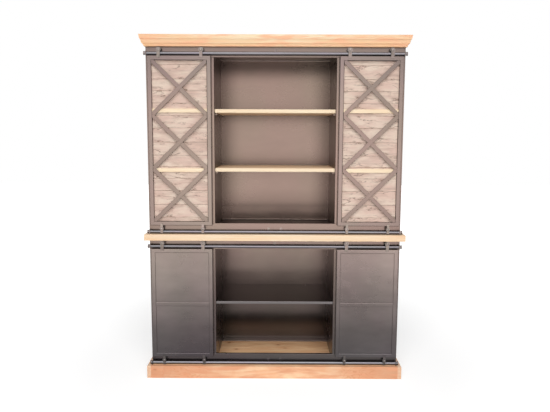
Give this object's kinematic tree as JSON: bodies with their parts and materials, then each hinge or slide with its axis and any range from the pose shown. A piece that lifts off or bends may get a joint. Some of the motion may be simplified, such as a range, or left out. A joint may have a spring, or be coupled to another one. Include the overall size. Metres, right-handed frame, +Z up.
{
  "type": "kitchen dresser",
  "caption": "Tall steel and wood kitchen dresser: open middle bays and sliding doors on round rails, cross-barred planks above and sheet panels below.",
  "frame": {"origin": "centre of the dresser's box at floor level", "axes": "+Z up, +X to the viewer's right when facing the doors, -Y out of the front"},
  "size_m": [1.68, 0.52, 2.2],
  "materials": {
    "light_wood": "oiled pale wood",
    "rough_planks": "rough, whitewashed",
    "dark_steel": "clear lacquered dark steel",
    "bracket_steel": "clear lacquered dark steel",
    "rail_steel": "drawn steel bar",
    "bolt_steel": "zinc plated, dulled",
    "wheel_steel": "turned steel"
  },
  "bodies": {
    "cabinet": {"bottom_rails": "rail_steel", "counter_board": "light_wood", "crown_end_mouldings": "light_wood", "crown_front_moulding": "light_wood", "crown_top_board": "light_wood", "floor_boards": "light_wood", "lower_back_panel": "dark_steel", "lower_face_frame": "dark_steel", "lower_left_partition": "dark_steel", "lower_left_side": "dark_steel", "lower_right_partition": "dark_steel", "lower_right_side": "dark_steel", "lower_shelves": "dark_steel", "plinth_end_boards": "light_wood", "plinth_long_boards": "light_wood", "rail_end_brackets": "bracket_steel", "rail_middle_tabs": "bracket_steel", "shelf_bearers": "dark_steel", "top_rails": "rail_steel", "upper_back_panel": "dark_steel", "upper_ceiling_sheet": "dark_steel", "upper_face_frame": "dark_steel", "upper_floor_sheet": "dark_steel", "upper_left_partition": "dark_steel", "upper_left_side": "dark_steel", "upper_right_partition": "dark_steel", "upper_right_side": "dark_steel", "upper_shelves": "light_wood"},
    "upper_left_door": {"upper_left_door_battens": "light_wood", "upper_left_door_bolts": "bolt_steel", "upper_left_door_cross_bars": "dark_steel", "upper_left_door_frame": "dark_steel", "upper_left_door_guide_brackets": "bracket_steel", "upper_left_door_hanger_straps": "bracket_steel", "upper_left_door_planks": "rough_planks"},
    "upper_right_door": {"upper_right_door_battens": "light_wood", "upper_right_door_bolts": "bolt_steel", "upper_right_door_cross_bars": "dark_steel", "upper_right_door_frame": "dark_steel", "upper_right_door_guide_brackets": "bracket_steel", "upper_right_door_hanger_straps": "bracket_steel", "upper_right_door_planks": "rough_planks"},
    "lower_left_door": {"lower_left_door_bolts": "bolt_steel", "lower_left_door_frame": "dark_steel", "lower_left_door_guide_brackets": "bracket_steel", "lower_left_door_hanger_straps": "bracket_steel", "lower_left_door_panels": "dark_steel"},
    "lower_right_door": {"lower_right_door_bolts": "bolt_steel", "lower_right_door_frame": "dark_steel", "lower_right_door_guide_brackets": "bracket_steel", "lower_right_door_hanger_straps": "bracket_steel", "lower_right_door_panels": "dark_steel"},
    "lower_left_door_inner_wheel": {"lower_left_door_inner_wheel": "wheel_steel"},
    "lower_left_door_outer_wheel": {"lower_left_door_outer_wheel": "wheel_steel"},
    "lower_right_door_inner_wheel": {"lower_right_door_inner_wheel": "wheel_steel"},
    "lower_right_door_outer_wheel": {"lower_right_door_outer_wheel": "wheel_steel"},
    "upper_left_door_inner_wheel": {"upper_left_door_inner_wheel": "wheel_steel"},
    "upper_left_door_outer_wheel": {"upper_left_door_outer_wheel": "wheel_steel"},
    "upper_right_door_inner_wheel": {"upper_right_door_inner_wheel": "wheel_steel"},
    "upper_right_door_outer_wheel": {"upper_right_door_outer_wheel": "wheel_steel"}
  },
  "joints": [
    {"name": "upper_left_door_slide", "type": "slide", "parent": "cabinet", "child": "upper_left_door", "axis": [1, 0, 0], "range_m": [0, 0.399]},
    {"name": "upper_left_door_outer_wheel_turn", "type": "hinge", "parent": "upper_left_door", "child": "upper_left_door_outer_wheel", "pos_m": [-0.724, -0.2215, 2.1128], "axis": [0, 1, 0], "range_deg": [0, 2000]},
    {"name": "upper_left_door_inner_wheel_turn", "type": "hinge", "parent": "upper_left_door", "child": "upper_left_door_inner_wheel", "pos_m": [-0.461, -0.2215, 2.1128], "axis": [0, 1, 0], "range_deg": [0, 2000]},
    {"name": "upper_right_door_slide", "type": "slide", "parent": "cabinet", "child": "upper_right_door", "axis": [-1, 0, 0], "range_m": [0, 0.399]},
    {"name": "upper_right_door_outer_wheel_turn", "type": "hinge", "parent": "upper_right_door", "child": "upper_right_door_outer_wheel", "pos_m": [0.724, -0.2215, 2.1128], "axis": [0, -1, 0], "range_deg": [0, 2000]},
    {"name": "upper_right_door_inner_wheel_turn", "type": "hinge", "parent": "upper_right_door", "child": "upper_right_door_inner_wheel", "pos_m": [0.461, -0.2215, 2.1128], "axis": [0, -1, 0], "range_deg": [0, 2000]},
    {"name": "lower_left_door_slide", "type": "slide", "parent": "cabinet", "child": "lower_left_door", "axis": [1, 0, 0], "range_m": [0, 0.399]},
    {"name": "lower_left_door_outer_wheel_turn", "type": "hinge", "parent": "lower_left_door", "child": "lower_left_door_outer_wheel", "pos_m": [-0.724, -0.2215, 0.8978], "axis": [0, 1, 0], "range_deg": [0, 2000]},
    {"name": "lower_left_door_inner_wheel_turn", "type": "hinge", "parent": "lower_left_door", "child": "lower_left_door_inner_wheel", "pos_m": [-0.461, -0.2215, 0.8978], "axis": [0, 1, 0], "range_deg": [0, 2000]},
    {"name": "lower_right_door_slide", "type": "slide", "parent": "cabinet", "child": "lower_right_door", "axis": [-1, 0, 0], "range_m": [0, 0.399]},
    {"name": "lower_right_door_outer_wheel_turn", "type": "hinge", "parent": "lower_right_door", "child": "lower_right_door_outer_wheel", "pos_m": [0.724, -0.2215, 0.8978], "axis": [0, -1, 0], "range_deg": [0, 2000]},
    {"name": "lower_right_door_inner_wheel_turn", "type": "hinge", "parent": "lower_right_door", "child": "lower_right_door_inner_wheel", "pos_m": [0.461, -0.2215, 0.8978], "axis": [0, -1, 0], "range_deg": [0, 2000]}
  ],
  "couplings": [
    {"joint": "upper_left_door_outer_wheel_turn", "follows": "upper_left_door_slide", "rad_per_m": 86.957},
    {"joint": "upper_left_door_inner_wheel_turn", "follows": "upper_left_door_slide", "rad_per_m": 86.957},
    {"joint": "upper_right_door_outer_wheel_turn", "follows": "upper_right_door_slide", "rad_per_m": 86.957},
    {"joint": "upper_right_door_inner_wheel_turn", "follows": "upper_right_door_slide", "rad_per_m": 86.957},
    {"joint": "lower_left_door_outer_wheel_turn", "follows": "lower_left_door_slide", "rad_per_m": 86.957},
    {"joint": "lower_left_door_inner_wheel_turn", "follows": "lower_left_door_slide", "rad_per_m": 86.957},
    {"joint": "lower_right_door_outer_wheel_turn", "follows": "lower_right_door_slide", "rad_per_m": 86.957},
    {"joint": "lower_right_door_inner_wheel_turn", "follows": "lower_right_door_slide", "rad_per_m": 86.957}
  ]
}
